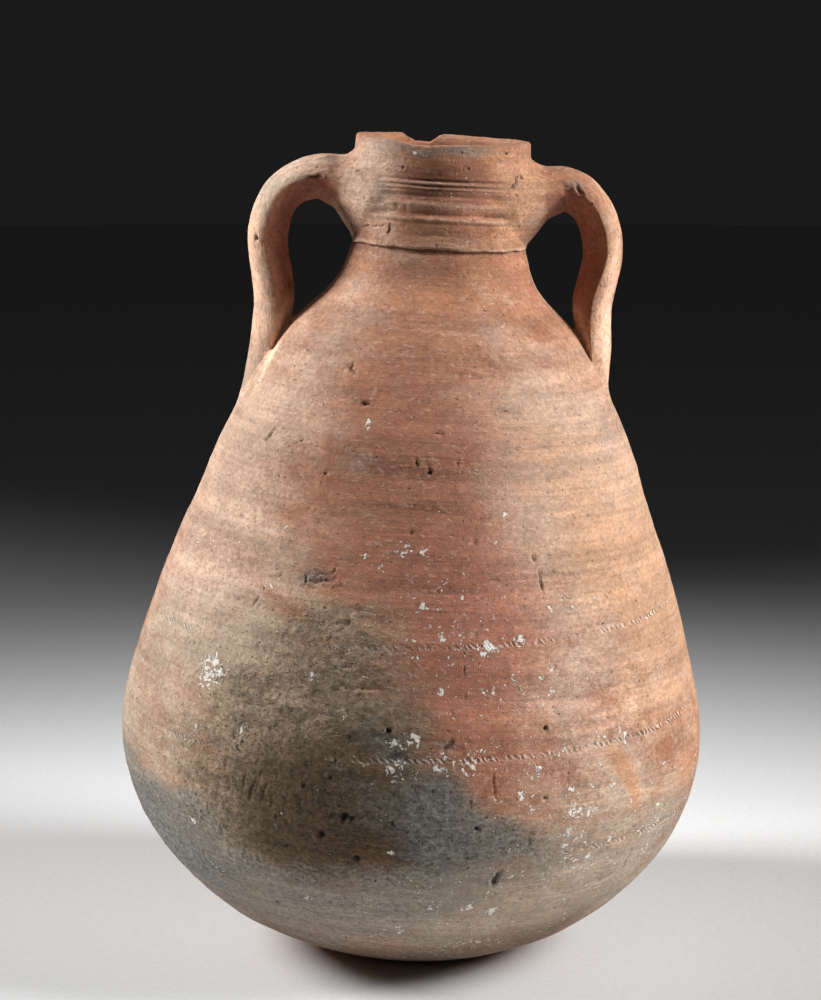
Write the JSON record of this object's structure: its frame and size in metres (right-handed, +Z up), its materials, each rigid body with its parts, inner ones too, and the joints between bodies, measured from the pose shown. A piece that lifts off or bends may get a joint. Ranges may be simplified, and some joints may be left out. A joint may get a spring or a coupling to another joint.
{
  "type": "two-handled storage jar",
  "caption": "Pear-shaped unglazed clay storage jar on a small flat base, with a short grooved neck, a chipped rim and two strap handles from neck to shoulder.",
  "frame": {"origin": "middle of the flat under the base, on the surface that the jar stands on", "axes": "+Z up; +X to the right of the picture, towards which the jar leans; -Y towards the camera"},
  "size_m": [0.3495, 0.35, 0.4881],
  "materials": {
    "base_clay": "matt low-fired clay, grey-brown with soot, scraped",
    "bowl_clay": "matt low-fired clay, olive-brown fire cloud and soot",
    "belly_clay": "matt low-fired clay, red-brown to orange, cord printed",
    "shoulder_clay": "matt low-fired clay, pinkish tan with wheel ridges",
    "neck_clay": "matt low-fired clay, pinkish tan, turned grooves",
    "coil_clay": "matt low-fired clay, pressed roll",
    "left_handle_clay": "matt low-fired clay, hand pulled",
    "right_handle_clay": "matt low-fired clay, hand pulled"
  },
  "bodies": {
    "root": {"base_disc": "base_clay", "base_bowl": "bowl_clay", "belly_wall": "belly_clay", "shoulder_wall": "shoulder_clay", "neck_collar": "neck_clay", "neck_seam_coil": "coil_clay", "handle_left": "left_handle_clay", "handle_right": "right_handle_clay"}
  },
  "joints": []
}
